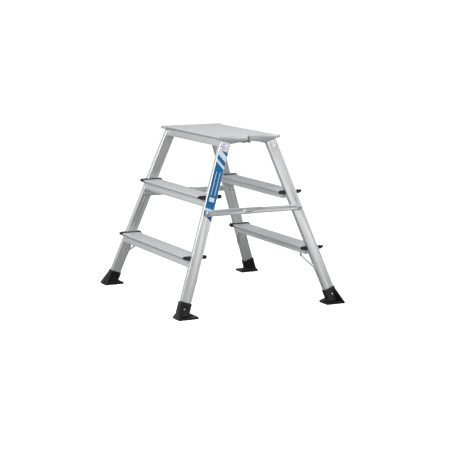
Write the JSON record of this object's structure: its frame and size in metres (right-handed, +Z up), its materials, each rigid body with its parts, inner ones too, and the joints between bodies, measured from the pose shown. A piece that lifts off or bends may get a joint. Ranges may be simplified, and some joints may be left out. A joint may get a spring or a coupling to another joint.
{
  "type": "step ladder",
  "caption": "Folding double-sided aluminium step: two splayed frames with ribbed treads, a split platform hinged at its middle, folding side spreaders and black feet.",
  "frame": {"origin": "on the floor at the middle of the open step", "axes": "+X in the folding direction towards the right frame, +Y along the treads towards the far side, +Z up"},
  "size_m": [0.7624, 0.8468, 0.705],
  "materials": {
    "aluminium": "satin extruded",
    "tread_aluminium": "ribbed, satin anodised",
    "zinc_steel": "zinc plated",
    "black_plastic": "fine grain",
    "grey_plastic": "smooth",
    "black_rubber": "fine grain",
    "label_film": "smooth printed film"
  },
  "bodies": {
    "left_frame": {"left_near_stile": "aluminium", "left_far_stile": "aluminium", "left_near_side_plate": "tread_aluminium", "left_far_side_plate": "tread_aluminium", "left_platform": "tread_aluminium", "left_lower_tread": "tread_aluminium", "left_upper_tread": "tread_aluminium", "left_lower_near_cap": "black_plastic", "left_lower_far_cap": "black_plastic", "left_upper_near_cap": "black_plastic", "left_upper_far_cap": "black_plastic", "left_tread_brackets": "aluminium", "left_tread_rivets": "zinc_steel", "left_near_foot": "black_rubber", "left_far_foot": "black_rubber", "left_foot_screws": "zinc_steel", "left_near_brace": "aluminium", "left_far_brace": "aluminium", "left_top_rivets": "zinc_steel", "left_platform_rivets": "zinc_steel", "left_hinge_leaves": "zinc_steel", "left_link_studs": "zinc_steel", "left_link_nuts": "zinc_steel", "left_link_bushes": "black_plastic", "hinge_pins": "zinc_steel", "stile_label": "label_film"},
    "right_frame": {"right_near_stile": "aluminium", "right_far_stile": "aluminium", "right_near_side_plate": "tread_aluminium", "right_far_side_plate": "tread_aluminium", "right_platform": "tread_aluminium", "right_lower_tread": "tread_aluminium", "right_upper_tread": "tread_aluminium", "right_lower_near_cap": "black_plastic", "right_lower_far_cap": "black_plastic", "right_upper_near_cap": "black_plastic", "right_upper_far_cap": "black_plastic", "right_tread_brackets": "aluminium", "right_tread_rivets": "zinc_steel", "right_near_foot": "black_rubber", "right_far_foot": "black_rubber", "right_foot_screws": "zinc_steel", "right_near_brace": "aluminium", "right_far_brace": "aluminium", "right_top_rivets": "zinc_steel", "right_platform_rivets": "zinc_steel", "right_hinge_leaves": "zinc_steel", "right_link_studs": "zinc_steel", "right_link_nuts": "zinc_steel", "right_link_bushes": "black_plastic"},
    "near_left_arm": {"near_left_link": "aluminium", "near_mid_rivet": "zinc_steel", "near_lock_stud": "grey_plastic"},
    "near_right_arm": {"near_right_link": "aluminium", "near_end_rivet": "zinc_steel"},
    "far_left_arm": {"far_left_link": "aluminium", "far_mid_rivet": "zinc_steel", "far_lock_stud": "grey_plastic"},
    "far_right_arm": {"far_right_link": "aluminium", "far_end_rivet": "zinc_steel"}
  },
  "joints": [
    {"name": "fold", "type": "hinge", "parent": "left_frame", "child": "right_frame", "pos_m": [0, 0, 0.693], "axis": [0, 1, 0], "range_deg": [0, 45]},
    {"name": "near_left_swing", "type": "hinge", "parent": "left_frame", "child": "near_left_arm", "pos_m": [-0.209, -0.33, 0.405], "axis": [0, -1, 0], "range_deg": [0, 59.83]},
    {"name": "near_elbow", "type": "hinge", "parent": "near_left_arm", "child": "near_right_arm", "pos_m": [-0.023, -0.328, 0.405], "axis": [0, 1, 0], "range_deg": [0, 134.94]},
    {"name": "far_left_swing", "type": "hinge", "parent": "left_frame", "child": "far_left_arm", "pos_m": [-0.209, 0.33, 0.405], "axis": [0, -1, 0], "range_deg": [0, 59.83]},
    {"name": "far_elbow", "type": "hinge", "parent": "far_left_arm", "child": "far_right_arm", "pos_m": [-0.023, 0.328, 0.405], "axis": [0, 1, 0], "range_deg": [0, 134.94]}
  ],
  "couplings": [
    {"joint": "near_left_swing", "follows": "fold", "ratio": 1.3293},
    {"joint": "near_elbow", "follows": "fold", "ratio": 2.9984},
    {"joint": "far_left_swing", "follows": "fold", "ratio": 1.3293},
    {"joint": "far_elbow", "follows": "fold", "ratio": 2.9984}
  ]
}
